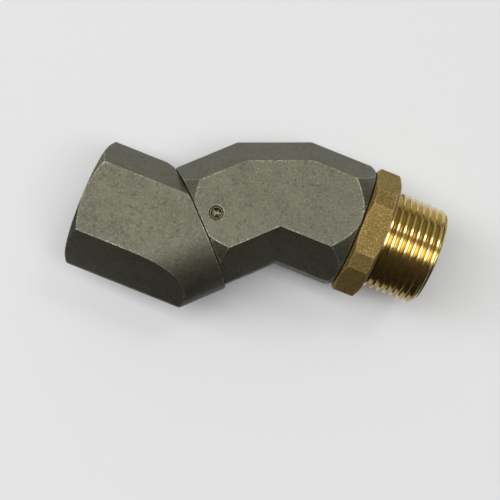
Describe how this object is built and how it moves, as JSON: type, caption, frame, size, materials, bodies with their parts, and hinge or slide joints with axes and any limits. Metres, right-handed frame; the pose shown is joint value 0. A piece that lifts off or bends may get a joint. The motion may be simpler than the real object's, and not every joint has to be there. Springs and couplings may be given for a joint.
{
  "type": "fuel hose swivel fitting",
  "caption": "Multi-plane fuel hose swivel: two 45 degree aluminium castings and a brass male outlet joined by ball-race swivels, with a female inlet port.",
  "frame": {"origin": "on the back flat of the elbow casting, straight below the point where its two axes cross", "axes": "+Z out of the front flat, +X along the fitting from the female inlet to the male outlet, +Y towards the outside of the elbow's bend"},
  "size_m": [0.0998, 0.0432, 0.0328],
  "materials": {
    "cast_aluminium": "dark blasted casting",
    "brass": "hot-forged hexagon, machined thread and spigot",
    "ball_steel": "ground and polished",
    "plug_steel": "passivated",
    "seal_rubber": "moulded fuel-proof rubber",
    "wiper_rubber": "moulded reddish-brown rubber",
    "guide_polymer": "filled bearing polymer",
    "ptfe": "white, waxy"
  },
  "bodies": {
    "inlet": {"inlet_body": "cast_aluminium", "inlet_stem": "brass", "inlet_stem_seal": "seal_rubber", "inlet_guide_ring": "guide_polymer", "inlet_backup_ring": "ptfe", "inlet_main_o_ring": "seal_rubber", "inlet_second_o_ring": "seal_rubber"},
    "inlet_ball_set": {"inlet_balls": "ball_steel"},
    "elbow": {"elbow_body": "cast_aluminium", "inlet_ball_plug": "plug_steel", "outlet_ball_plug": "plug_steel", "inlet_dust_seal": "wiper_rubber", "outlet_dust_seal": "wiper_rubber", "inlet_thrust_washer": "ptfe", "outlet_thrust_washer": "ptfe"},
    "outlet_ball_set": {"outlet_balls": "ball_steel"},
    "outlet": {"outlet_stem": "brass", "outlet_guide_ring": "guide_polymer", "outlet_backup_ring": "ptfe", "outlet_main_o_ring": "seal_rubber", "outlet_second_o_ring": "seal_rubber"}
  },
  "joints": [
    {"name": "inlet_swivel", "type": "hinge", "parent": "inlet", "child": "elbow", "pos_m": [-0.01957, -0.00811, 0.016], "axis": [0.9239, 0.3827, 0], "continuous": true},
    {"name": "inlet_balls_roll", "type": "hinge", "parent": "inlet", "child": "inlet_ball_set", "pos_m": [-0.01957, -0.00811, 0.016], "axis": [0.9239, 0.3827, 0], "continuous": true},
    {"name": "outlet_swivel", "type": "hinge", "parent": "elbow", "child": "outlet", "pos_m": [0.02049, -0.00849, 0.016], "axis": [0.9239, -0.3827, 0], "continuous": true},
    {"name": "outlet_balls_roll", "type": "hinge", "parent": "elbow", "child": "outlet_ball_set", "pos_m": [0.02049, -0.00849, 0.016], "axis": [0.9239, -0.3827, 0], "continuous": true}
  ],
  "couplings": [
    {"joint": "inlet_balls_roll", "follows": "inlet_swivel", "ratio": 0.5},
    {"joint": "outlet_balls_roll", "follows": "outlet_swivel", "ratio": 0.5}
  ]
}
